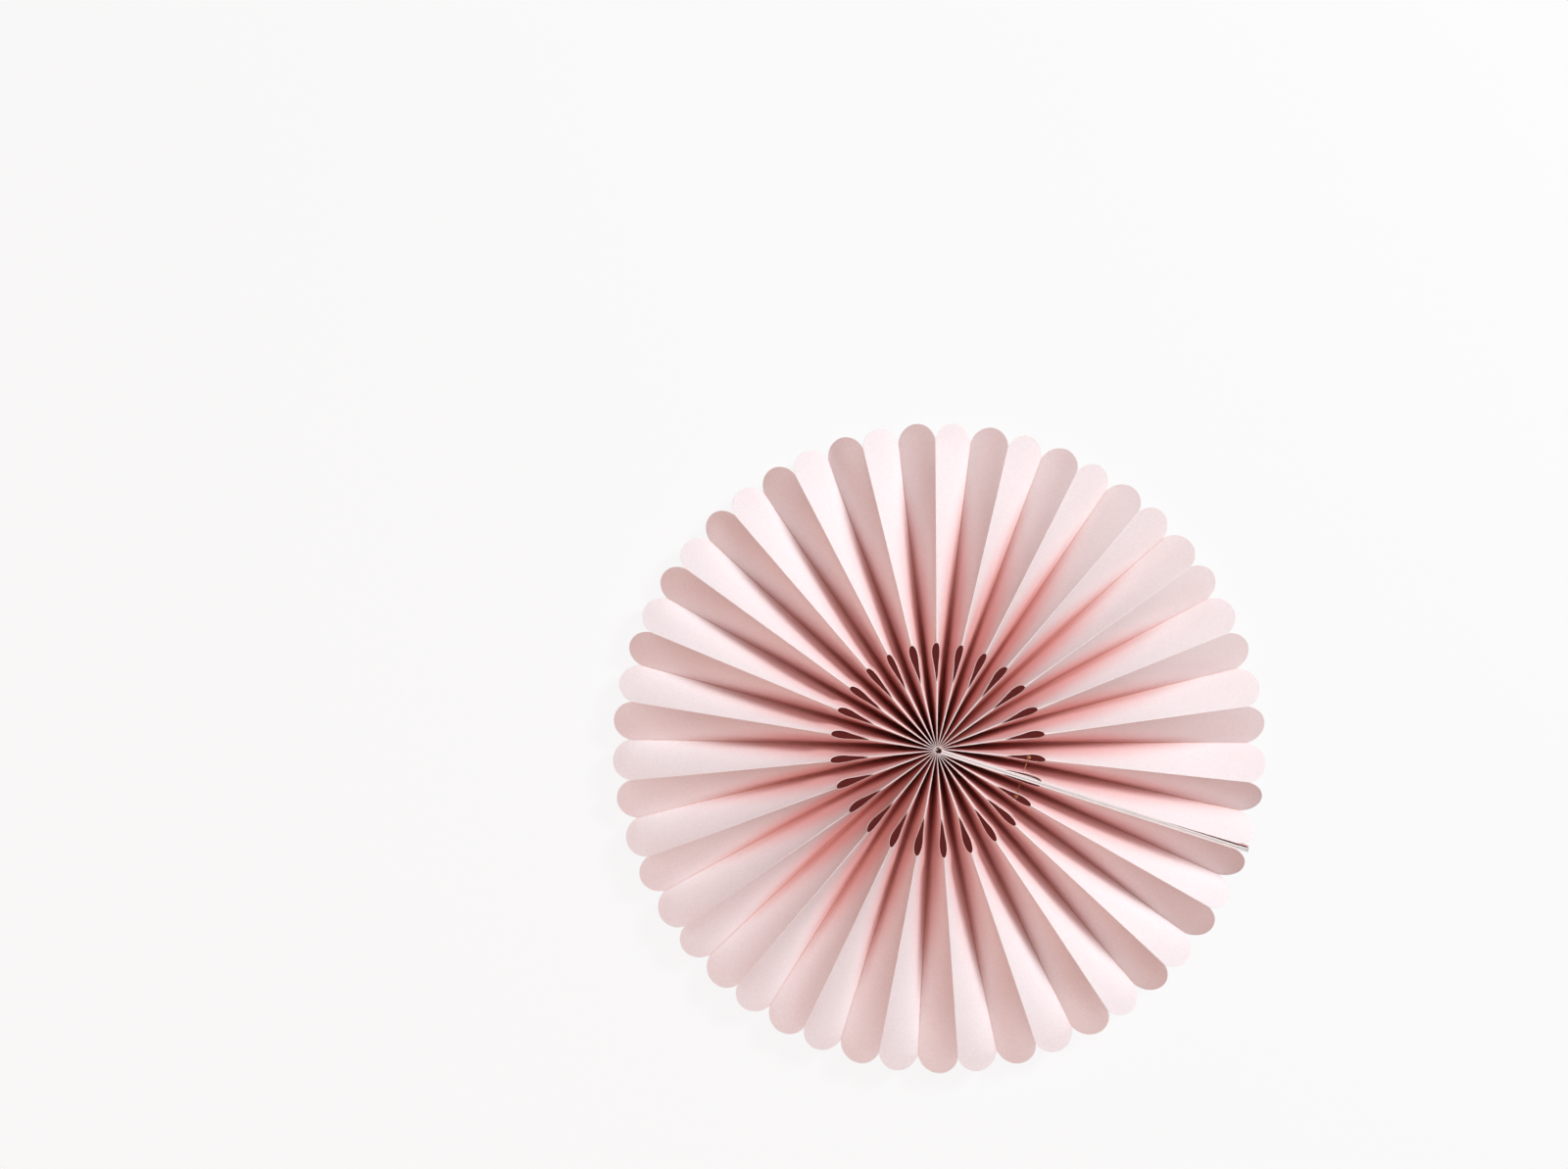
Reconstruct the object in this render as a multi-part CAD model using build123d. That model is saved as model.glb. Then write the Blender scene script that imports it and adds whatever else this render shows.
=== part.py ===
from build123d import *
from math import acos, asin, cos, exp, pi, radians, sin, sqrt
import os

# Paper fan rosette: a strip of paper folded to and fro, gathered at its middle and opened
# out to a full disc. Its two ends meet at a joint, each glued to a stiff card.
#
# Frame, in millimetres: the disc stands upright, its axis along Y. Its front looks towards
# -Y, +X is to the right and +Z is up. The origin is on the axis, halfway through the depth.
# Folds are numbered round the disc from the joint, anticlockwise seen from the front. Even
# folds are ridges at the front and odd folds are valleys. Fold 0 and the last fold are the
# ridges at the joint, where the paper turns back into the two glued flaps.

# Paper disc
FOLD_RADIUS = 156.0  # axis to the outer ends of the folds
TIP_HEIGHT = 8.9  # how far each rounded tip stands past the ends of its folds
PAPER = 0.18  # thickness of the paper
LAYER_GAP = 0.04  # air between neighbouring layers where they crowd at the hub
RIM_TILT = 16.0  # tilt of the slackest panels at the rim, in degrees from the disc's plane
CROWDED_RADII = (8.0, 22.0)  # axis to two bends that follow the layers as they come clear
BENDS = 4  # flat lengths that stand for one panel's steady twist from the tie to the rim

# Pleats, from the joint round: how many, and how wide each opens beside the others
JOINT_ANGLE = -17.8  # direction of the joint from +X, in degrees
JOINT_OPENING = 11.75  # the one pleat on each side of the joint
RIGHT_PLEATS = 4
RIGHT_OPENING = 13.95
UPPER_PLEATS = 9
UPPER_OPENING = 13.5
LOWER_PLEATS = 9
LOWER_OPENING = 14.7
LAST_PLEATS = 2
LAST_OPENING = 13.45
LIFT_FADE = 8.0  # folds over which the rim settles back from the joint's full depth

# Teardrop cut over every front fold, as far in as it is seen on the opened sheet
TEAR_POINT = 34.5  # axis to the pointed inner end
TEAR_CENTRE = 48.6  # axis to the middle of the round outer end
TEAR_RADIUS = 5.5  # round outer end

# Joint
CARD = 0.8  # thickness of one end card
TAPE = 0.3  # thickness of the tape between the cards
TAPE_MARGIN = 1.0  # card left bare at the front and back of the tape
INNER_TAPE = (8.0, 30.5)  # axis to the two ends of the inner pad
OUTER_TAPE = (66.0, FOLD_RADIUS - 2.0)  # axis to the two ends of the outer pad

# Thread that gathers the hub, its ends led in between the cards to a knot in the middle
THREAD_RADIUS = 0.12
THREAD_SIDES = 6
THREAD_RING = 4.6  # axis to the thread, which runs straight from ridge to ridge
THREAD_HOLE = 0.4  # half the width, corner to corner, of each hole that it runs through
KNOT_RADIUS = 0.8
KNOT_OFF_AXIS = 0.6  # axis to the knot, away from the joint
KNOT_SINK = 3.0  # how far the knot lies behind the hub's front

# Tie across the joint, with a knot inside the pleat on each side
TIE_ALONG = 45.0  # axis to the tie, along the joint
TIE_RADIUS = 0.2
TIE_HOLE = 0.4  # half the width, corner to corner
TIE_KNOT_RADIUS = 1.3
TIE_CLEARANCE = 0.1  # knot to the paper on either side of it

HOLE_SIDES = 4  # a needle's slit, opened by the thread

# Sizes that follow
Y_AXIS = Vector(0, 1, 0)
OPENINGS = (
    [JOINT_OPENING]
    + [RIGHT_OPENING] * RIGHT_PLEATS
    + [UPPER_OPENING] * UPPER_PLEATS
    + [LOWER_OPENING] * LOWER_PLEATS
    + [LAST_OPENING] * LAST_PLEATS
    + [JOINT_OPENING]
)
LAST_FOLD = 2 * len(OPENINGS)
WIDEST = 2 * pi * max(OPENINGS) / sum(OPENINGS)
PANEL_WIDTH = 2 * FOLD_RADIUS * sin(WIDEST / 4) / cos(radians(RIM_TILT))
DISC_DEPTH = PANEL_WIDTH + PAPER
CARD_FACE = TAPE / 2 + CARD  # joint's middle plane to a card's outer face
FOLD_OFFSET = CARD_FACE + PAPER / 2  # joint's middle plane to the ridge beside it
HUB_RADIUS = (LAST_FOLD * (PAPER + LAYER_GAP) + 2 * FOLD_OFFSET) / (2 * pi)
END_INNER = sqrt(HUB_RADIUS**2 - FOLD_OFFSET**2)  # axis to the inner ends of cards and flaps
END_OUTER = sqrt(FOLD_RADIUS**2 - FOLD_OFFSET**2)  # axis to where their tips begin


def radial(angle, radius):
    return Vector(radius * cos(angle), 0, radius * sin(angle))


# Along the joint is this plane's own X, backward its Y and anticlockwise its Z.
JOINT_OUTWARD = radial(radians(JOINT_ANGLE), 1)
JOINT_PLANE = Plane((0, 0, 0), x_dir=JOINT_OUTWARD, z_dir=JOINT_OUTWARD.cross(Y_AXIS))


def turned_share(fold):
    """Share of the way round the disc from the joint to a fold."""
    whole = sum(OPENINGS[: fold // 2])
    half = OPENINGS[fold // 2] / 2 if fold % 2 else 0
    return (whole + half) / sum(OPENINGS)


KNOTS_OUT = TIE_ALONG / cos(2 * pi * turned_share(2))  # axis to the tie's knots


def fold_end(fold, radius):
    """End of a fold's line. The cards take up some of the circle, most of all at the hub."""
    beside_joint = asin(FOLD_OFFSET / radius)
    turn = (2 * pi - 2 * beside_joint) * turned_share(fold)
    return radial(radians(JOINT_ANGLE) + beside_joint + turn, radius)


FOLD_INNER = [fold_end(fold, HUB_RADIUS) for fold in range(LAST_FOLD + 1)]
FOLD_OUTER = [fold_end(fold, FOLD_RADIUS) for fold in range(LAST_FOLD + 1)]


def fold_plan(fold, radius):
    """Point of a fold seen from the front, its line run on past the ends where needed."""
    along = (radius - HUB_RADIUS) / (FOLD_RADIUS - HUB_RADIUS)
    return FOLD_INNER[fold] + (FOLD_OUTER[fold] - FOLD_INNER[fold]) * along


def fold_y(fold, radius):
    """Place of a fold through the depth. A panel keeps its width, so that the paper is as
    deep as a panel at the hub and flattens as the folds spread. Beside the joint, whose
    cards are as deep at the rim as at the hub, the whole rim is lifted forwards."""
    here = fold_plan(fold, radius)
    beside = [n for n in (fold - 1, fold + 1) if 0 <= n <= LAST_FOLD]
    spread = sum((fold_plan(n, radius) - here).length for n in beside) / len(beside)
    depth = sqrt(PANEL_WIDTH**2 - spread**2)
    lift = exp(-min(fold, LAST_FOLD - fold) / LIFT_FADE) * (PANEL_WIDTH - depth) / 2
    side = 1 if fold % 2 else -1
    return side * depth / 2 - lift


def panel_section(valley, ridge, radius):
    """Four corners of a panel's section: the valley's front, the ridge's front, the ridge's
    back and the valley's back. The outside of a fold keeps within the paper's thickness, and
    the inside is filled as far as the two layers touch, which is deep where they crowd."""
    low = fold_plan(valley, radius)
    high = fold_plan(ridge, radius)
    low_y = fold_y(valley, radius)
    high_y = fold_y(ridge, radius)
    through = PAPER * PANEL_WIDTH * LAST_FOLD / (2 * pi * radius - 2 * FOLD_OFFSET)
    outside = min(through / 4, PAPER / 2)
    inside = through - outside
    return [
        low + Y_AXIS * (low_y - inside),
        high + Y_AXIS * (high_y - outside),
        high + Y_AXIS * (high_y + inside),
        low + Y_AXIS * (low_y + outside),
    ]


def flat_face(corners):
    return Face(Wire.make_polygon(corners))


def rounded_tip(low, high, outward, through):
    """The faces of a panel's tip, past its folds: a front, a back and the curved cut edge."""
    peak = (low + high) / 2 + outward * TIP_HEIGHT
    curve = ThreePointArc(low, peak, high)
    front = Face(Wire([curve, Line(high, low)]))
    return [front, front.moved(Location(through)), Face.extrude(curve, through)]


def bend_radii():
    """Hub to rim. One bend is at the tie's knots, so that the panels beside them lie as true
    there as the folds do. From it on, the bends are closest where the tilt changes fastest."""
    rim_tilt = radians(RIM_TILT)
    steepest = acos(KNOTS_OUT / FOLD_RADIUS * cos(rim_tilt))
    tilts = [steepest + (rim_tilt - steepest) * n / BENDS for n in range(BENDS + 1)]
    return [HUB_RADIUS, *CROWDED_RADII, *(FOLD_RADIUS * cos(t) / cos(rim_tilt) for t in tilts)]


def panel_blank(valley, ridge):
    """One twisted panel with its tip, the twist taken in flat lengths split cornerwise."""
    rings = [panel_section(valley, ridge, radius) for radius in bend_radii()]
    hub_end = rings[0] if ridge > valley else rings[0][::-1]
    outward = (FOLD_OUTER[valley] + FOLD_OUTER[ridge]).normalized()
    low, high, _, low_back = rings[-1]
    faces = [flat_face(hub_end), *rounded_tip(low, high, outward, low_back - low)]
    for front, back in ((0, 3), (1, 2)):
        on_fold = [ring[front] for ring in rings] + [ring[back] for ring in reversed(rings)]
        faces.append(flat_face(on_fold))
    for inner, outer in zip(rings, rings[1:]):
        for valley_side, ridge_side in ((0, 1), (3, 2)):
            split = [inner[valley_side], outer[ridge_side]]
            faces.append(flat_face([*split, inner[ridge_side]]))
            faces.append(flat_face([*split, outer[valley_side]]))
    return Solid(Shell(faces))


def ridge_plane(ridge):
    """Upright plane along a fold, its own X outward, its own Y backward."""
    outward = (FOLD_OUTER[ridge] - FOLD_INNER[ridge]).normalized()
    return Plane(outward * -HUB_RADIUS + FOLD_INNER[ridge], x_dir=outward, z_dir=outward.cross(Y_AXIS))


def teardrop():
    """Round at its outer end and drawn to a point towards the hub, on the fold."""
    length = TEAR_CENTRE - TEAR_POINT
    touch = acos(TEAR_RADIUS / length)
    side = (TEAR_CENTRE - TEAR_RADIUS * cos(touch), TEAR_RADIUS * sin(touch))
    point = Polygon((TEAR_POINT, 0), (side[0], -side[1]), side, align=None)
    return Pos(TEAR_CENTRE, 0) * Circle(TEAR_RADIUS) + point


def tear_waste(ridge):
    """A teardrop's prism, across the fold to both sides."""
    drop = Pos(0, fold_y(ridge, TEAR_CENTRE)) * teardrop()
    return extrude(ridge_plane(ridge) * drop, amount=PANEL_WIDTH / 2, both=True)


def pierced_hole(middle, direction, radius, length=PANEL_WIDTH):
    outline = RegularPolygon(radius, HOLE_SIDES)
    return extrude(Plane(middle, z_dir=direction) * outline, amount=length / 2, both=True)


def thread_hole(valley, ridge):
    low = fold_plan(valley, THREAD_RING)
    high = fold_plan(ridge, THREAD_RING)
    return pierced_hole((low + high) / 2, high - low, THREAD_HOLE)


def tie_knot_place():
    """How far the knots lie to each side of the joint, and how far back in their pleats:
    in the first ridge's hollow, as near the front as it is wide enough for a knot."""
    ridge = fold_plan(2, KNOTS_OUT)
    spread = (ridge - fold_plan(1, KNOTS_OUT)).length
    sunk = (TIE_KNOT_RADIUS + PAPER + TIE_CLEARANCE) * PANEL_WIDTH / spread
    return JOINT_PLANE.to_local_coords(ridge).Z, fold_y(2, KNOTS_OUT) + sunk


TIE_REACH, TIE_Y = tie_knot_place()
TIE_MIDDLE = JOINT_OUTWARD * TIE_ALONG + Y_AXIS * TIE_Y


def tie_hole():
    return pierced_hole(TIE_MIDDLE, JOINT_PLANE.z_dir, TIE_HOLE, 2 * TIE_REACH)


def panel(fold):
    """The panel between a fold and the next one round, with its cut and its holes."""
    valley, ridge = (fold, fold + 1) if fold % 2 else (fold + 1, fold)
    waste = [tear_waste(ridge), thread_hole(valley, ridge)]
    if fold in (0, 1, LAST_FOLD - 2, LAST_FOLD - 1):
        waste.append(tie_hole())
    return panel_blank(valley, ridge).cut(*waste)


def joint_slab(near, thickness, side):
    """A flat strip end as deep as the disc, near its inner face's distance from the joint."""
    edge = DISC_DEPTH / 2
    corners = [(END_OUTER, edge), (END_INNER, edge), (END_INNER, -edge), (END_OUTER, -edge)]
    tip = ThreePointArc(corners[-1], (END_OUTER + TIP_HEIGHT, 0), corners[0])
    outline = make_face([Polyline(*corners), tip])
    slab = extrude(JOINT_PLANE.offset(side * near) * outline, amount=side * thickness)
    ring_hole = pierced_hole(JOINT_OUTWARD * THREAD_RING, JOINT_PLANE.z_dir, THREAD_HOLE)
    return slab - ring_hole - tie_hole()


def pleated_paper():
    first_flap = joint_slab(CARD_FACE, PAPER, 1) - tear_waste(0)
    last_flap = joint_slab(CARD_FACE, PAPER, -1) - tear_waste(LAST_FOLD)
    panels = [panel(fold) for fold in range(LAST_FOLD)]
    return first_flap.solid().fuse(*panels, last_flap.solid())


def tape_pad(ends):
    inner, outer = ends
    middle = Pos((inner + outer) / 2, 0, 0)
    return JOINT_PLANE * middle * Box(outer - inner, DISC_DEPTH - 2 * TAPE_MARGIN, TAPE)


def rod(start, end, radius, sides):
    outline = RegularPolygon(radius, sides)
    return extrude(Plane(start, z_dir=end - start) * outline, amount=(end - start).length)


def knot(middle, radius):
    """A small tight knot, near enough a ball, as two eight-sided caps with tapered sides."""
    cap = extrude(Plane.XZ * RegularPolygon(radius, 8), amount=radius * 0.7, taper=35)
    return Pos(middle) * (cap + cap.mirror(Plane.XZ))


def gathering_thread():
    sides = LAST_FOLD // 2
    outer, inner = (
        RegularPolygon(THREAD_RING + reach, sides) for reach in (THREAD_RADIUS, -THREAD_RADIUS)
    )
    ring = extrude(Plane.XZ * (outer - inner), amount=THREAD_RADIUS, both=True)
    joint_end = JOINT_OUTWARD * THREAD_RING
    middle = JOINT_OUTWARD * -KNOT_OFF_AXIS
    front = middle + Y_AXIS * (KNOT_SINK - DISC_DEPTH / 2)
    lead = rod(joint_end, middle, THREAD_RADIUS, THREAD_SIDES)
    rise = rod(middle + Y_AXIS * THREAD_RADIUS, front, THREAD_RADIUS, THREAD_SIDES)
    return ring + lead + rise + knot(front, KNOT_RADIUS)


def joint_tie():
    ends = [TIE_MIDDLE + JOINT_PLANE.z_dir * (side * TIE_REACH) for side in (-1, 1)]
    tie = rod(*ends, TIE_RADIUS, THREAD_SIDES)
    return tie + knot(ends[0], TIE_KNOT_RADIUS) + knot(ends[1], TIE_KNOT_RADIUS)


os.makedirs("parts", exist_ok=True)
pieces = {
    "pleated_paper": pleated_paper(),
    "upper_end_card": joint_slab(TAPE / 2, CARD, 1),
    "lower_end_card": joint_slab(TAPE / 2, CARD, -1),
    "inner_tape_pad": tape_pad(INNER_TAPE),
    "outer_tape_pad": tape_pad(OUTER_TAPE),
    "gathering_thread": gathering_thread(),
    "joint_tie": joint_tie(),
}
for name, piece in pieces.items():
    export_step(piece, f"parts/{name}.step")
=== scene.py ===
from functools import partial
from math import acos, asin, atan, atan2, cos, exp, hypot, pi, radians, sin, sqrt

import bmesh
import bpy
from mathutils import Matrix, Vector, noise


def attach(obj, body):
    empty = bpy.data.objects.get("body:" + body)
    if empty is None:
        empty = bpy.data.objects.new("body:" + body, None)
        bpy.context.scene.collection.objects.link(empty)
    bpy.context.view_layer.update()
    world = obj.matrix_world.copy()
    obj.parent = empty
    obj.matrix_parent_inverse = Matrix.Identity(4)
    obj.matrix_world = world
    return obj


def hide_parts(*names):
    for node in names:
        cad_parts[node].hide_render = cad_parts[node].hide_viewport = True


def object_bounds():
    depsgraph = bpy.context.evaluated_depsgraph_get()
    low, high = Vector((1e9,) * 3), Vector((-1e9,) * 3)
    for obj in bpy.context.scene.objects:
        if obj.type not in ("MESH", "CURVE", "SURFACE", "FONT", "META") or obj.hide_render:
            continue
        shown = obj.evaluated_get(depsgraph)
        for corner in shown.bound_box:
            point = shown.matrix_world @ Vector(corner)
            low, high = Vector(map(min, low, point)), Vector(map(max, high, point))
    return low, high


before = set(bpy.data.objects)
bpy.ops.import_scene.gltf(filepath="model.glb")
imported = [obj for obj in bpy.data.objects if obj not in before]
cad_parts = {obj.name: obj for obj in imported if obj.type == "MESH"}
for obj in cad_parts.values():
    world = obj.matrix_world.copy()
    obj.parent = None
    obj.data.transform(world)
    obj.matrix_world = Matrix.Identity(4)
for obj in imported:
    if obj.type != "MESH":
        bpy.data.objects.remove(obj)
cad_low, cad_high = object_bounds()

# A paper fan rosette against a white wall: a strip of pink paper folded to and fro, gathered
# at its middle and opened out to a disc. The fan's own numbers are in millimetres, as in the
# part's source, and MM turns them to metres where a mesh or a pattern is placed.
MM = 0.001

# Folded strip, as in the part's source
FOLD_RADIUS = 156.0  # axis to the outer ends of the folds
TIP_HEIGHT = 8.9  # how far each rounded tip stands past the ends of its folds
PAPER = 0.18  # thickness of the paper
LAYER_GAP = 0.04  # air between neighbouring layers where they crowd at the hub
RIM_TILT = 16.0  # tilt of the slackest panels at the rim, in degrees from the disc's plane
JOINT_ANGLE = -17.8  # direction of the joint from +X, in degrees
# How wide each pleat opens beside the others, from the joint round
OPENINGS = [11.75] + [13.95] * 4 + [13.5] * 9 + [14.7] * 9 + [13.45] * 2 + [11.75]
LIFT_FADE = 8.0  # folds over which the rim settles back from the joint's full depth
TEAR_POINT = 34.5  # axis to the pointed inner end of each teardrop
TEAR_CENTRE = 48.6  # axis to the middle of its round outer end
TEAR_RADIUS = 5.5  # round outer end

# Joint, thread and tie, as in the part's source
CARD = 0.8  # thickness of one end card
TAPE = 0.3  # thickness of the tape between the cards
THREAD_RADIUS = 0.12
THREAD_RING = 4.6  # axis to the thread
KNOT_OFF_AXIS = 0.6  # axis to the thread's knot, away from the joint
KNOT_SINK = 3.0  # how far the knot lies behind the hub's front
TIE_ALONG = 45.0  # axis to the tie, along the joint
TIE_RADIUS = 0.2
TIE_KNOT_RADIUS = 1.3
TIE_CLEARANCE = 0.1  # knot to the paper on either side of it

# Sizes that follow, as in the part's source
LAST_FOLD = 2 * len(OPENINGS)
WIDEST = 2 * pi * max(OPENINGS) / sum(OPENINGS)
PANEL_WIDTH = 2 * FOLD_RADIUS * sin(WIDEST / 4) / cos(radians(RIM_TILT))
FOLD_OFFSET = TAPE / 2 + CARD + PAPER / 2  # joint's middle plane to the ridge beside it
HUB_RADIUS = (LAST_FOLD * (PAPER + LAYER_GAP) + 2 * FOLD_OFFSET) / (2 * pi)

# What the fine sheet adds
HUB_EYE = 1.5  # radius to which the crushed folds close the hub
CREASE_RADIUS = 0.25  # middle of the paper, inside the ring of teardrops
RIM_CREASE = 0.1  # the same at the rim, where the folds are pressed sharp
CROWDED_CREASE = 0.12  # the most of the room between two folds that it takes near the hub
LEAST_CREASE = 0.001  # keeps it round where two folds are all but together
LIP = 0.25  # how far the edge of a teardrop has been pressed out by its die
LIP_REACH = 0.7  # paper that the pressing has turned
BOW = 0.7  # how far the middle of a panel bows out of flat, at most
BUCKLE = 0.9  # further swelling and denting along a panel, at most
BUCKLE_LENGTH = 45.0
BOW_APART = 1.7  # step through the noise from panel to panel, so that neighbours differ
BUCKLE_APART = 3.1
HELD_FLAT = 0.6  # share of the way to the teardrops that is held too tight to buckle
TIP_KEPT = 0.996  # share of a tip's height that keeps the fine sheet inside the part's box
PEEL = 0.9  # how far the first ridge has come off its card at the rim
PEEL_START = 0.75  # share of the radius where that begins

# How many lengths the fine sheet is divided into: across a panel, and along it from the hub
# to the teardrop's point, its round end, its outer edge, the end of the fold and the tip
ACROSS = 24
HUB_LENGTHS = 8
HUB_CROWDING = 1.5  # power by which they are shorter towards the hub
POINT_LENGTHS = 3
ROUND_LENGTHS = 10
OUTER_LENGTHS = 10
TIP_LENGTHS = 4

# What the wound knots and the thread's ends add
HUB_KNOT_RADIUS = 0.6  # drawn tighter than the part's
KNOT_CORE = 0.6  # shares of a knot's radius: its core, its turns' middle line, its cord
KNOT_TURN = 0.62
KNOT_CORD = 0.38
KNOT_TURNS = ((10, 0), (75, 50), (105, -35))  # lean and turn of each, in degrees
THREAD_END = 1.6  # axis to the cut ends of the thread
THREAD_ENDS = ((165, 2.6), (215, 2.0))  # degrees from +X, and how far in front of the knot

Y_AXIS = Vector((0, 1, 0))
LEVEL = Vector((1, 0, 1))  # leaves out the depth


def radial(angle, radius):
    return Vector((radius * cos(angle), 0, radius * sin(angle)))


JOINT_OUTWARD = radial(radians(JOINT_ANGLE), 1)
JOINT_ROUND = JOINT_OUTWARD.cross(Y_AXIS)  # anticlockwise past the joint


# Folded sheet


def turned_share(fold):
    """Share of the way round the disc from the joint to a fold."""
    whole = sum(OPENINGS[: fold // 2])
    half = OPENINGS[fold // 2] / 2 if fold % 2 else 0
    return (whole + half) / sum(OPENINGS)


def fold_end(fold, radius):
    beside_joint = asin(FOLD_OFFSET / radius)
    turn = (2 * pi - 2 * beside_joint) * turned_share(fold)
    return radial(radians(JOINT_ANGLE) + beside_joint + turn, radius)


FOLD_INNER = [fold_end(fold, HUB_RADIUS) for fold in range(LAST_FOLD + 1)]
FOLD_OUTER = [fold_end(fold, FOLD_RADIUS) for fold in range(LAST_FOLD + 1)]


def fold_plan(fold, radius):
    """Point of a fold seen from the front."""
    along = (radius - HUB_RADIUS) / (FOLD_RADIUS - HUB_RADIUS)
    return FOLD_INNER[fold].lerp(FOLD_OUTER[fold], along)


def fold_point(fold, radius):
    """Point of a fold, placed as in the part's source apart from the peel."""
    here = fold_plan(fold, radius)
    beside = [n for n in (fold - 1, fold + 1) if 0 <= n <= LAST_FOLD]
    spread = sum((fold_plan(n, radius) - here).length for n in beside) / len(beside)
    depth = sqrt(PANEL_WIDTH**2 - spread**2)
    lift = exp(-min(fold, LAST_FOLD - fold) / LIFT_FADE) * (PANEL_WIDTH - depth) / 2
    side = 1 if fold % 2 else -1
    peeled = 0
    if fold == 0:
        peeled = PEEL * max(radius / FOLD_RADIUS - PEEL_START, 0) / (1 - PEEL_START)
    return here + Y_AXIS * (side * depth / 2 - lift) + JOINT_ROUND * peeled


def flap_back(fold, radius):
    """Back edge of the flap that lies against a card, straight behind its fold."""
    return fold_plan(fold, radius) + Y_AXIS * PANEL_WIDTH / 2


def tear_cut(radius):
    """How far behind the ridge a teardrop reaches at a radius."""
    length = TEAR_CENTRE - TEAR_POINT
    touch = acos(TEAR_RADIUS / length)
    if radius < TEAR_CENTRE - TEAR_RADIUS * cos(touch):
        return max(radius - TEAR_POINT, 0) * TEAR_RADIUS / sqrt(length**2 - TEAR_RADIUS**2)
    return sqrt(max(TEAR_RADIUS**2 - (radius - TEAR_CENTRE) ** 2, 0))


def spaced(start, end, count, power=1.0):
    return [start + (end - start) * (n / count) ** power for n in range(1, count + 1)]


def sheet_rows():
    """Radius and share of the tip for each row of the sheet, hub to rim, close together
    round the teardrop's round end."""
    touch = acos(TEAR_RADIUS / (TEAR_CENTRE - TEAR_POINT))
    turns = spaced(pi - touch, 0, ROUND_LENGTHS)
    radii = [HUB_EYE, *spaced(HUB_EYE, TEAR_POINT, HUB_LENGTHS, HUB_CROWDING)]
    radii += spaced(TEAR_POINT, TEAR_CENTRE - TEAR_RADIUS * cos(touch), POINT_LENGTHS)
    radii += [TEAR_CENTRE + TEAR_RADIUS * cos(turn) for turn in turns]
    radii += spaced(TEAR_CENTRE + TEAR_RADIUS, FOLD_RADIUS, OUTER_LENGTHS)
    tips = spaced(0, 1, TIP_LENGTHS)
    return [(radius, 0.0) for radius in radii] + [(FOLD_RADIUS, tip) for tip in tips]


def panel_line(radius, spread, depth, share):
    """Place on a panel's section, across from its valley and up from it, at a share of its
    width. The section is straight between its two rounded creases."""
    rimward = min(max(radius - TEAR_CENTRE, 0) / TEAR_CENTRE, 1)
    crease = CREASE_RADIUS + (RIM_CREASE - CREASE_RADIUS) * rimward
    crease = max(min(crease, CROWDED_CREASE * spread), LEAST_CREASE)
    apart = hypot(spread, depth - 2 * crease)
    steep = atan2(depth - 2 * crease, spread) + asin(2 * crease / apart)
    straight = sqrt(apart**2 - 4 * crease**2)
    gone = min(share, 1 - share) * (straight + 2 * crease * steep)
    turn = min(gone / crease, steep)
    past = max(gone - crease * steep, 0)
    across = crease * sin(turn) + past * cos(steep)
    up = crease * (1 - cos(turn)) + past * sin(steep)
    return (across, up) if share < 0.5 else (spread - across, depth - up)


def tip_rise(share):
    """How far the rounded tip stands past the folds' ends, at a share of the width."""
    round_radius = ((PANEL_WIDTH / 2) ** 2 + TIP_HEIGHT**2) / (2 * TIP_HEIGHT)
    off = (share - 0.5) * PANEL_WIDTH
    return sqrt(round_radius**2 - off**2) - (round_radius - TIP_HEIGHT)


def openness(out, spread):
    """Share of open air that a spot faces inside a V of two panels, where out is its share of
    the way from the fold at the bottom of the V and spread is how far apart the folds are."""
    between = 2 * asin(min(spread / PANEL_WIDTH, 1))
    above = atan2(sin(between), cos(between) - out)
    return (1 - cos(above)) / 2


def shape_panel(bm, fold, first, second, ridge_first, rows):
    """One panel of the sheet, from the first line to the second one round. Its attributes
    tell the paper's colour how far each spot is from folds and cut, and how open it lies."""
    layers = bm.verts.layers.float
    grid = bmesh.ops.create_grid(bm, x_segments=ACROSS, y_segments=len(rows) - 1, size=0.5)
    bow = BOW * noise.noise(Vector((fold * BOW_APART, 0.5, 0.5)))
    for vertex in grid["verts"]:
        radius, tip = rows[round((vertex.co.y + 0.5) * (len(rows) - 1))]
        start, end = first(radius), second(radius)
        ridge, valley = (start, end) if ridge_first else (end, start)
        turned = vertex.co.x + 0.5
        from_valley = 1 - turned if ridge_first else turned
        toward_ridge = ((ridge - valley) * LEVEL).normalized()
        spread = ((ridge - valley) * LEVEL).length
        depth = valley.y - ridge.y

        # Where a teardrop takes the ridge's side away, the columns crowd into what is left.
        cut = tear_cut(radius)
        kept = 1 - cut / depth
        share = (1 - cos(pi * from_valley)) / 2 * kept
        across, up = panel_line(radius, spread, depth, share)
        turned_out = max(1 - (kept - share) * PANEL_WIDTH / LIP_REACH, 0) ** 2
        across -= LIP * turned_out * min(cut, 1)
        place = valley + toward_ridge * across - Y_AXIS * up

        outward = ((first(FOLD_RADIUS) + second(FOLD_RADIUS)) * LEVEL).normalized()
        along = Vector((fold * BUCKLE_APART, radius / BUCKLE_LENGTH, 0.5))
        dent = BUCKLE * noise.noise(along)
        free = min(max(radius / TEAR_POINT - HELD_FLAT, 0), 1)
        bulge = (bow * radius / FOLD_RADIUS + dent * free) * sin(pi * share) ** 2
        place += (end - start).normalized().cross(outward) * bulge * (1 - tip)
        place += outward * tip_rise(share) * tip * TIP_KEPT

        vertex[layers["from_ridge"]] = (kept - share) * PANEL_WIDTH
        vertex[layers["from_valley"]] = share * PANEL_WIDTH
        vertex[layers["from_cut"]] = (kept - share) * PANEL_WIDTH if cut > 0 else PANEL_WIDTH
        vertex[layers["open_front"]] = openness(share, spread)
        vertex[layers["open_back"]] = openness(1 - share, spread)
        vertex.co = place * MM


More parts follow.
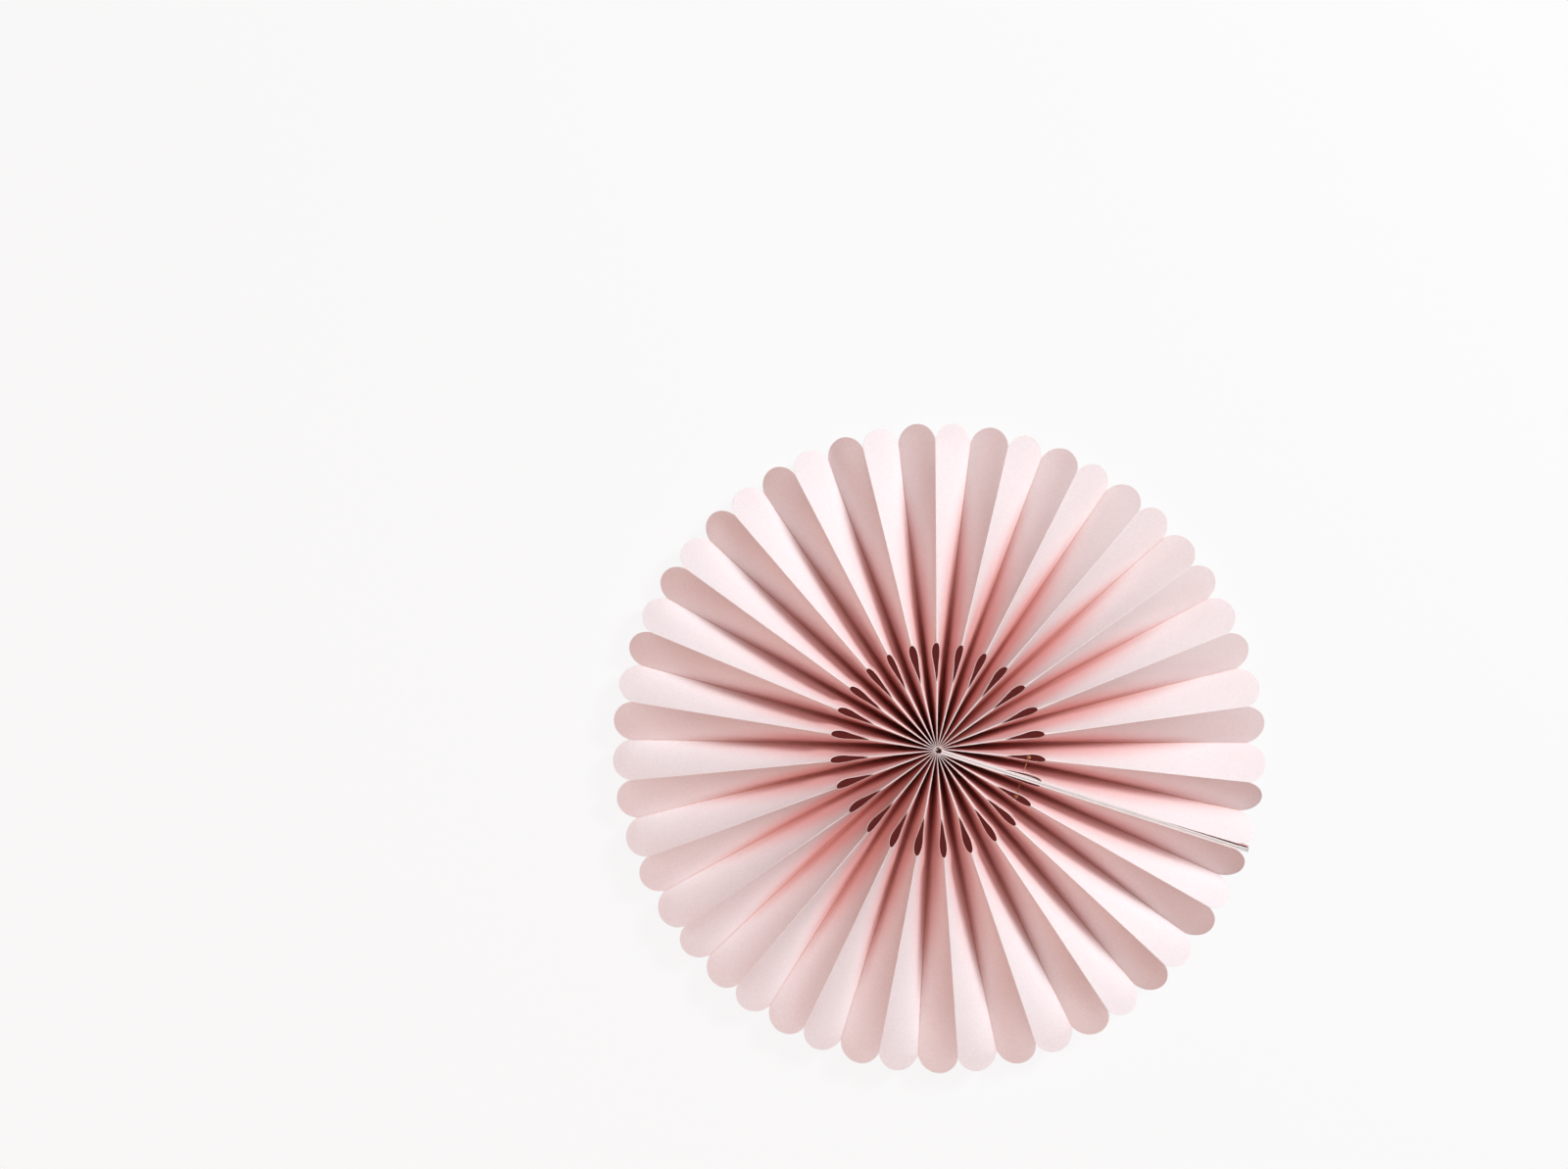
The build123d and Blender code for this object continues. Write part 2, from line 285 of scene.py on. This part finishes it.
def pleated_sheet():
    """The whole strip, with the flaps that turn back against the two cards."""
    bm = bmesh.new()
    for name in ("from_ridge", "from_valley", "from_cut", "open_front", "open_back"):
        bm.verts.layers.float.new(name)
    rows = sheet_rows()
    for fold in range(LAST_FOLD):
        lines = partial(fold_point, fold), partial(fold_point, fold + 1)
        shape_panel(bm, fold, *lines, fold % 2 == 0, rows)
    first_flap = partial(flap_back, 0), partial(fold_point, 0)
    last_flap = partial(fold_point, LAST_FOLD), partial(flap_back, LAST_FOLD)
    shape_panel(bm, -1, *first_flap, False, rows)
    shape_panel(bm, LAST_FOLD, *last_flap, True, rows)
    bmesh.ops.remove_doubles(bm, verts=bm.verts, dist=0.001 * MM)
    bmesh.ops.reverse_faces(bm, faces=bm.faces)
    for edge in bm.edges:
        edge.smooth = not edge.is_boundary
    return finished(bm, "pleated_sheet")


def linked(name, data):
    """An object in the scene for a mesh, a lamp or a camera."""
    made = bpy.data.objects.new(name, data)
    bpy.context.scene.collection.objects.link(made)
    return made


def finished(bm, name):
    for face in bm.faces:
        face.smooth = True
    mesh = bpy.data.meshes.new(name)
    bm.to_mesh(mesh)
    bm.free()
    piece = linked(name, mesh)
    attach(piece, "root")
    return piece


# Thread and tie


def cord_loop(bm, radius, cord, place, steps=20):
    """One full turn of cord, laid by a matrix."""
    outline = place @ Matrix.Translation((radius, 0, 0)) @ Matrix.Rotation(pi / 2, 4, "X")
    verts = bmesh.ops.create_circle(bm, segments=10, radius=cord, matrix=outline)["verts"]
    edges = list(dict.fromkeys(edge for vertex in verts for edge in vertex.link_edges))
    turn = {"cent": place.translation, "axis": place.col[2].xyz, "angle": 2 * pi}
    bmesh.ops.spin(bm, geom=verts + edges, steps=steps, use_merge=True, **turn)


def cord_run(bm, start, end, radius):
    """A straight run of cord."""
    turned = (end - start).to_track_quat("Z", "Y").to_matrix().to_4x4()
    place = Matrix.Translation((start + end) / 2) @ turned
    size = {"radius1": radius, "radius2": radius, "depth": (end - start).length}
    bmesh.ops.create_cone(bm, cap_ends=True, segments=12, matrix=place, **size)


def knotted(bm, middle, radius):
    """A tight knot: three turns of the cord, drawn together over a core."""
    place = Matrix.Translation(middle)
    bmesh.ops.create_icosphere(bm, subdivisions=2, radius=radius * KNOT_CORE, matrix=place)
    for lean, turn in KNOT_TURNS:
        tipped = Matrix.Rotation(radians(turn), 4, "Z") @ Matrix.Rotation(radians(lean), 4, "X")
        cord_loop(bm, radius * KNOT_TURN, radius * KNOT_CORD, place @ tipped)


def in_metres(bm, name):
    bm.transform(Matrix.Scale(MM, 4))
    bmesh.ops.recalc_face_normals(bm, faces=bm.faces)
    return finished(bm, name)


def gathering_thread():
    """The thread through the pleats near the hub, with its knot and ends in the hub's eye."""
    bm = bmesh.new()
    flat = Matrix.Rotation(pi / 2, 4, "X")
    cord_loop(bm, THREAD_RING, THREAD_RADIUS, flat, LAST_FOLD)
    middle = JOINT_OUTWARD * -KNOT_OFF_AXIS
    front = middle + Y_AXIS * (KNOT_SINK - (PANEL_WIDTH + PAPER) / 2)
    cord_run(bm, JOINT_OUTWARD * THREAD_RING, middle, THREAD_RADIUS)
    cord_run(bm, middle, front, THREAD_RADIUS)
    knotted(bm, front, HUB_KNOT_RADIUS)
    for around, rise in THREAD_ENDS:
        end = radial(radians(around), THREAD_END) + Y_AXIS * (front.y - rise)
        cord_run(bm, front, end, THREAD_RADIUS)
    return in_metres(bm, "gathering_thread_and_knot")


def tie_ends():
    """Middles of the two knots of the tie through the joint, each in the hollow behind the
    first ridge of its side."""
    knots_out = TIE_ALONG / cos(2 * pi * turned_share(2))
    ridge = fold_point(2, knots_out)
    spread = (fold_plan(2, knots_out) - fold_plan(1, knots_out)).length
    sunk = (TIE_KNOT_RADIUS + PAPER + TIE_CLEARANCE) * PANEL_WIDTH / spread
    middle = JOINT_OUTWARD * TIE_ALONG + Y_AXIS * (ridge.y + sunk)
    reach = JOINT_ROUND * ridge.dot(JOINT_ROUND)
    return middle - reach, middle + reach


def tie_through_joint():
    bm = bmesh.new()
    ends = tie_ends()
    cord_run(bm, *ends, TIE_RADIUS)
    for end in ends:
        knotted(bm, end, TIE_KNOT_RADIUS)
    return in_metres(bm, "tie_through_joint")


# Materials


def linear(code):
    """An sRGB hex value as linear light."""
    parts = [int(code[n : n + 2], 16) / 255 for n in (0, 2, 4)]
    return [c / 12.92 if c <= 0.04045 else ((c + 0.055) / 1.055) ** 2.4 for c in parts] + [1]


def add(owner, kind, inputs=None, **settings):
    """A node of a material or the world with its settings, and its inputs by name or number:
    a value, a socket, or another node for its first output."""
    node = owner.node_tree.nodes.new("ShaderNode" + kind)
    for key, value in settings.items():
        setattr(node, key, value)
    for key, value in (inputs or {}).items():
        if isinstance(value, bpy.types.Node):
            value = value.outputs[0]
        if isinstance(value, bpy.types.NodeSocket):
            owner.node_tree.links.new(value, node.inputs[key])
        else:
            node.inputs[key].default_value = value
    return node


def new_material(name):
    material = bpy.data.materials.new(name)
    material.use_nodes = True
    return material


def finish_matt(material, colour, height, strength, depth, roughness):
    """Gives a material its colour, a bump of a strength and a depth in mm, and a roughness."""
    surface = material.node_tree.nodes["Principled BSDF"]
    bump = {"Height": height, "Strength": strength, "Distance": depth * MM}
    bump = add(material, "Bump", bump)
    material.node_tree.links.new(colour.outputs[0], surface.inputs["Base Color"])
    material.node_tree.links.new(bump.outputs[0], surface.inputs["Normal"])
    surface.inputs["Roughness"].default_value = roughness
    return surface


SMOOTH = {"interpolation_type": "SMOOTHSTEP"}


def paper_colour_and_painted_shade(material, place, off_axis, opened):
    """Nearly white with a breath of pink where the paper is open to the room. Down in a pleat the
    colour is painted deeper, to a red brown: painted shade for where little light reaches."""
    cloud = add(material, "TexNoise", {"Vector": place, "Scale": 1 / (38 * MM), "Detail": 1.0})
    drift = add(material, "MapRange", {"Value": cloud, "To Min": -0.05, "To Max": 0.05})
    # Painted shade: openness is cut down towards the hub, so the crowded folds there are painted
    # darker.
    clear = {"Value": off_axis, "From Min": 2 * MM, "From Max": 28 * MM, "To Min": 0.4}
    clear = add(material, "MapRange", clear)
    depth = add(material, "Math", {0: opened, 1: clear, 2: drift}, operation="MULTIPLY_ADD")
    # Painted shade: the less open a spot, the deeper the colour, through EDBFBC and D8857E to
    # B6594B; FAF2F3 is the paper's own colour.
    bottom = add(material, "MapRange", {"Value": depth, "From Max": 0.12})
    lower = {"Value": depth, "From Min": 0.03, "From Max": 0.22}
    lower = add(material, "MapRange", lower, **SMOOTH)
    upper = {"Value": depth, "From Min": 0.24, "From Max": 0.72}
    upper = add(material, "MapRange", upper, **SMOOTH)
    colour = {"Fac": bottom, "Color1": linear("B6594B"), "Color2": linear("D8857E")}
    colour = add(material, "MixRGB", colour)
    for share, code in ((lower, "EDBFBC"), (upper, "FAF2F3")):
        colour = {"Fac": share, "Color1": colour, "Color2": linear(code)}
        colour = add(material, "MixRGB", colour)
    return colour


def valley_painted_shade_and_crease_line(material, place, off_axis, from_fold, colour):
    """Towards the hub a band beside the fold at the bottom of a V is painted a deeper red brown:
    painted shade. Further out that fold is a wandering line of bruised, orange-pink fibre."""
    # Painted shade: the band beside the bottom fold, colour B26454, strongest near the hub and
    # fading out away from it.
    hubward_painted_shade = {"Value": off_axis, "From Min": 140 * MM, "From Max": 60 * MM}
    hubward_painted_shade = add(material, "MapRange", hubward_painted_shade)
    strength = add(material, "Math", {0: hubward_painted_shade, 1: 0.6}, operation="MULTIPLY")
    beside = {"Value": from_fold, "From Min": 6.5, "From Max": 0.6, "To Max": strength}
    beside = add(material, "MapRange", beside, **SMOOTH)
    colour = {"Fac": beside, "Color1": colour, "Color2": linear("B26454")}
    colour = add(material, "MixRGB", colour)

    wander = add(material, "TexNoise", {"Vector": place, "Scale": 1 / (6 * MM)})
    wander = add(material, "MapRange", {"Value": wander, "To Min": -0.3, "To Max": 0.3})
    wandered = add(material, "Math", {0: from_fold, 1: wander}, operation="ADD")
    begun = {"Value": off_axis, "From Min": 40 * MM, "From Max": 75 * MM, "To Max": 0.65}
    begun = add(material, "MapRange", begun)
    fading = {"From Min": 100 * MM, "From Max": 150 * MM, "To Min": 1.0, "To Max": 0.35}
    fading = add(material, "MapRange", {"Value": off_axis, **fading})
    shown = add(material, "Math", {0: begun, 1: fading}, operation="MULTIPLY")
    line = {"Value": wandered, "From Min": 0.7, "From Max": 0.4, "To Max": shown}
    line = add(material, "MapRange", line)
    colour = {"Fac": line, "Color1": colour, "Color2": linear("D29A8A")}
    return add(material, "MixRGB", colour)


def pale_crease_and_painted_highlight(material, off_axis, speckle, from_fold, from_cut, pale_band, colour):
    """The crease nearest the eye and a band beside each teardrop are painted pale, partly as
    broken pale fibre and partly as a painted highlight. Both are ragged, and narrower where the
    folds crowd at the hub and where they are pressed sharp towards the rim."""
    beside_cut = {"Value": from_cut, "From Max": pale_band, "To Max": 0.6}
    beside_cut = add(material, "MapRange", beside_cut, clamp=False)
    edge = add(material, "Math", {0: from_fold, 1: beside_cut}, operation="MINIMUM")
    ragged = {"Value": speckle, "To Min": -0.12, "To Max": 0.12}
    crowded = {"Value": off_axis, "From Min": 30 * MM, "From Max": 8 * MM, "To Max": 0.35}
    pressed = {"Value": off_axis, "From Min": 55 * MM, "From Max": 85 * MM, "To Max": 0.45}
    for further in (ragged, crowded, pressed):
        further = add(material, "MapRange", further)
        edge = add(material, "Math", {0: edge, 1: further}, operation="ADD")
    broken = add(material, "MapRange", {"Value": edge, "From Min": 0.65, "From Max": 0.45})
    # Pale fibre and painted highlight, FEF8F7, along the nearest crease and beside the teardrops.
    return add(material, "MixRGB", {"Fac": broken, "Color1": colour, "Color2": linear("FEF8F7")})


def pink_card_stock(name, facing, own_fold, far_fold, pale_band):
    """Uncoated card, dyed through: matt, with a fine speckle. Painted shade deepens its colour
    down in the pleats, and a painted highlight lies along its nearest creases and beside the
    teardrops. The attributes named are for the side of the sheet that it faces, and the last
    argument is the width in mm of the pale band beside a teardrop there."""
    material = new_material(name)
    place = add(material, "TexCoord").outputs["Object"]
    off_axis = add(material, "VectorMath", {0: place}, operation="LENGTH").outputs["Value"]
    opened, from_near, from_far, from_cut = (
        add(material, "Attribute", attribute_name=layer).outputs["Fac"]
        for layer in (facing, own_fold, far_fold, "from_cut")
    )
    speckle = {"Vector": place, "Scale": 1 / (1.1 * MM), "Detail": 2.0}
    speckle = add(material, "TexNoise", speckle)
    grain = {"Value": speckle, "From Min": 0.3, "From Max": 0.7, "To Max": 0.1}
    grain = add(material, "MapRange", grain)

    colour = paper_colour_and_painted_shade(material, place, off_axis, opened)
    colour = {"Fac": grain, "Color1": colour, "Color2": linear("B99B98")}
    colour = add(material, "MixRGB", colour)
    colour = valley_painted_shade_and_crease_line(material, place, off_axis, from_far, colour)
    colour = pale_crease_and_painted_highlight(material, off_axis, speckle, from_near, from_cut, pale_band, colour)
    fibre = add(material, "TexNoise", {"Vector": place, "Scale": 1 / (0.5 * MM), "Detail": 3.0})
    surface = finish_matt(material, colour, fibre, 0.2, 0.05, 0.7)
    surface.inputs["Specular IOR Level"].default_value = 0.25
    return material


def fibrous(name, pale, deep, grain, roughness):
    """A matt stuff of fibres or fine cells, mottled between two colours at a grain in mm."""
    material = new_material(name)
    place = add(material, "TexCoord").outputs["Object"]
    cells = add(material, "TexNoise", {"Vector": place, "Scale": 1 / (grain * MM), "Detail": 3.0})
    mottle = add(material, "MapRange", {"Value": cells, "From Min": 0.35, "From Max": 0.65})
    colour = {"Fac": mottle, "Color1": linear(pale), "Color2": linear(deep)}
    colour = add(material, "MixRGB", colour)
    finish_matt(material, colour, mottle, 0.4, grain / 5, roughness)
    return material


def bleached_board():
    """Solid white board, cut clean: matt and nearly white, with a ply line in the middle of
    its cut edge that opens to a broken grey line away from the hub."""
    material = new_material("bleached_board")
    place = add(material, "TexCoord").outputs["Object"]
    off_axis = add(material, "VectorMath", {0: place}, operation="LENGTH").outputs["Value"]
    across = add(material, "VectorMath", {0: place, 1: JOINT_ROUND}, operation="DOT_PRODUCT")
    off_joint = add(material, "Math", {0: across.outputs["Value"]}, operation="ABSOLUTE")
    ply = (TAPE / 2 + CARD / 2) * MM
    off_ply = add(material, "Math", {0: off_joint, 1: ply}, operation="SUBTRACT")
    off_ply = add(material, "Math", {0: off_ply}, operation="ABSOLUTE")
    # A ply line is finer than the frame shows, so it is drawn 0.2 mm wide.
    line = {"Value": off_ply, "From Min": 0.16 * MM, "From Max": 0.08 * MM}
    line = add(material, "MapRange", line)
    broken = add(material, "TexNoise", {"Vector": place, "Scale": 1 / (9 * MM), "Detail": 2.0})
    broken = {"Value": broken, "From Min": 0.4, "From Max": 0.6, "To Max": 0.45}
    broken = add(material, "MapRange", broken)
    outward = {"Value": off_axis, "From Min": 50 * MM, "From Max": 90 * MM}
    outward = add(material, "MapRange", outward)
    for share in (broken, outward):
        line = add(material, "Math", {0: line, 1: share}, operation="MULTIPLY")

    fibre = add(material, "TexNoise", {"Vector": place, "Scale": 1 / (0.6 * MM), "Detail": 3.0})
    mottle = add(material, "MapRange", {"Value": fibre, "From Min": 0.3, "From Max": 0.7})
    colour = {"Fac": mottle, "Color1": linear("FEFDFC"), "Color2": linear("FAF7F5")}
    colour = add(material, "MixRGB", colour)
    colour = {"Fac": line, "Color1": colour, "Color2": linear("A09692")}
    colour = add(material, "MixRGB", colour)
    finish_matt(material, colour, fibre, 0.2, 0.05, 0.8)
    return material


front_layers = ("open_front", "from_ridge", "from_valley")
back_layers = ("open_back", "from_valley", "from_ridge")
# Both sides carry painted shade deep in the pleats and hollows and a painted highlight along the
# creases; the front also beside the teardrops.
card_front = pink_card_stock("pink_card_stock_front_painted_shade_and_highlight", *front_layers, 1.3)
card_back = pink_card_stock("pink_card_stock_back_painted_shade_and_highlight", *back_layers, 0.02)
# Die-cut card stock: a pale, slightly furred edge of torn fibre
cut_edge = fibrous("die_cut_card_stock", "FFF9F8", "F6E6E4", 0.5, 0.9)
white_board = bleached_board()
# Double-sided acrylic foam tape: fine grey-white cells
foam_tape = fibrous("acrylic_foam_tape", "E6E3DD", "CFCBC3", 0.4, 0.6)
# Mercerised cotton: bright white with the shade of its twist
cotton_thread = fibrous("mercerised_cotton", "F8F6F2", "DAD5CD", 0.3, 0.5)
# Waxed linen cord: orange brown, mottled at random with a deeper brown
tie_cord = fibrous("waxed_linen_cord", "C98A66", "97573A", 0.5, 0.6)

sheet = pleated_sheet()
for material in (card_front, cut_edge, card_back):
    sheet.data.materials.append(material)
thickness = sheet.modifiers.new("thickness", "SOLIDIFY")
thickness.thickness = PAPER * MM
thickness.offset = 0
thickness.material_offset_rim = 1
thickness.material_offset = 2
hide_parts("pleated_paper")

for piece, node, slot, material in (
    (gathering_thread(), "gathering_thread", "white_thread", cotton_thread),
    (tie_through_joint(), "joint_tie", "joint_tie", tie_cord),
):
    piece.data.materials.append(material)
    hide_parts(node)

for node, material in (
    ("upper_end_card", white_board),
    ("lower_end_card", white_board),
    ("inner_tape_pad", foam_tape),
    ("outer_tape_pad", foam_tape),
):
    for material_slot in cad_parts[node].material_slots:
        material_slot.material = material

# Wall, lamps and camera, placed by the photograph's frame

FRAME_WIDTH = 1600
FRAME_HEIGHT = 1193
ORIGIN_PIXEL = (956.1, 763.3)  # where the frame shows the middle of the fan
CAMERA_DISTANCE = 0.96
LENS = 43.2
SENSOR = 36.0
CAMERA_LEFT = radians(3.2)
CAMERA_UP = radians(5.8)
WALL_REACH = 9.0  # m from the fan's axis to the wall's edges
WALL_GAP = 0.5  # mm behind the fan
WALL_GLOW = 0.9  # share of the wall's white that shows whatever light falls on it
LAMP_DISTANCE = 2.0  # m
LAMPS = (  # degrees round from +X and up from the wall, side in m, power in W, colour
    ("window", 40, 37, 0.5, 29, "F8FCFF"),
    ("ceiling", 45, 69, 1.3, 10.5, "F9FDFF"),
    ("fill", 220, 28, 1.4, 14.2, "FFB9A6"),
    ("behind", 60, -50, 1.5, 38, "FFFFFF"),
)


def seen_directly(owner):
    """1 for the camera, reflections and what shows through glass, or else 0."""
    path = add(owner, "LightPath").outputs
    first = {0: path["Is Camera Ray"], 1: path["Is Glossy Ray"]}
    first = add(owner, "Math", first, operation="ADD")
    both = {0: first, 1: path["Is Transmission Ray"]}
    return add(owner, "Math", both, operation="ADD", use_clamp=True)


def wall_paint():
    """Flat white emulsion. It shows near white to the camera and to glossy surfaces, and keeps
    the fan's soft shadow. Behind the fan it is painted a deep red brown, painted shade for what
    shows of it through the teardrops. From behind it is clear, so that the fan's back shows."""
    material = new_material("flat_white_emulsion_painted_shade_behind_fan")
    nodes = material.node_tree.nodes
    place = add(material, "TexCoord").outputs["Object"]
    off_axis = add(material, "VectorMath", {0: place}, operation="LENGTH").outputs["Value"]
    # Painted shade: within 90 to 130 mm of the axis the wall's paint and its glow pass to the
    # deep red brown 5F2624, for what shows through the teardrops and the hub's eye.
    clear_of_painted_shade = {"Value": off_axis, "From Min": 90 * MM, "From Max": 130 * MM}
    clear_of_painted_shade = add(material, "MapRange", clear_of_painted_shade)
    deep = linear("5F2624")
    paint, bright = (
        add(material, "MixRGB", {"Fac": clear_of_painted_shade, "Color1": deep, "Color2": linear(code)})
        for code in ("F4F4F5", "FCFCFC")
    )
    surface = nodes["Principled BSDF"]
    surface.inputs["Roughness"].default_value = 0.9
    material.node_tree.links.new(paint.outputs[0], surface.inputs["Base Color"])
    glow = add(material, "Emission", {"Color": bright})
    seen = {0: seen_directly(material), 1: WALL_GLOW}
    seen = add(material, "Math", seen, operation="MULTIPLY")
    front = add(material, "MixShader", {0: seen, 1: surface, 2: glow})
    behind = add(material, "NewGeometry").outputs["Backfacing"]
    clear = add(material, "BsdfTransparent")
    both = add(material, "MixShader", {0: behind, 1: front, 2: clear})
    material.node_tree.links.new(both.outputs[0], nodes["Material Output"].inputs["Surface"])
    return material


def wall():
    bm = bmesh.new()
    back = Matrix.Translation((0, cad_high.y + WALL_GAP * MM, 0))
    turned = back @ Matrix.Rotation(pi / 2, 4, "X")
    bmesh.ops.create_grid(bm, x_segments=1, y_segments=1, size=WALL_REACH, matrix=turned)
    mesh = bpy.data.meshes.new("wall")
    bm.to_mesh(mesh)
    bm.free()
    backdrop = linked("wall", mesh)
    mesh.materials.append(wall_paint())
    backdrop.visible_shadow = False
    backdrop.visible_diffuse = False


def lamp(name, around, up, size, power, code):
    """A square soft lamp that looks at the fan's middle."""
    direction = radial(radians(around), cos(radians(up))) - Y_AXIS * sin(radians(up))
    light = bpy.data.lights.new(name, "AREA")
    light.size = size
    light.energy = power
    light.color = linear(code)[:3]
    holder = linked(name, light)
    holder.location = direction * LAMP_DISTANCE
    holder.rotation_euler = direction.to_track_quat("Z", "Y").to_euler()


def camera():
    focal = LENS / SENSOR * FRAME_WIDTH
    lens = bpy.data.cameras.new("camera")
    lens.lens = LENS
    lens.sensor_width = SENSOR
    level = cos(CAMERA_UP)
    away = Vector((-sin(CAMERA_LEFT) * level, -cos(CAMERA_LEFT) * level, sin(CAMERA_UP)))
    right_of_middle = atan((ORIGIN_PIXEL[0] - FRAME_WIDTH / 2) / focal)
    below_middle = atan((ORIGIN_PIXEL[1] - FRAME_HEIGHT / 2) / focal)
    yaw = right_of_middle - CAMERA_LEFT
    pitch = below_middle - CAMERA_UP
    holder = linked("camera", lens)
    holder.location = away * CAMERA_DISTANCE
    holder.rotation_euler = (pi / 2 + pitch, 0, yaw)
    bpy.context.scene.camera = holder


def world_light():
    """A soft warm room, which shows white to the camera and in reflections."""
    world = bpy.data.worlds.new("studio")
    world.use_nodes = True
    nodes = world.node_tree.nodes
    room = nodes["Background"]
    room.inputs["Color"].default_value = linear("FFCCC4")
    room.inputs["Strength"].default_value = 0.14
    white = add(world, "Background", {"Color": linear("FFFFFF")})
    both = add(world, "MixShader", {0: seen_directly(world), 1: room, 2: white})
    world.node_tree.links.new(both.outputs[0], nodes["World Output"].inputs["Surface"])
    bpy.context.scene.world = world


wall()
for settings in LAMPS:
    lamp(*settings)
world_light()
camera()
bpy.context.scene.view_settings.view_transform = "Standard"
bpy.context.scene.cycles.diffuse_bounces = 8  # light goes on from panel to panel in a pleat
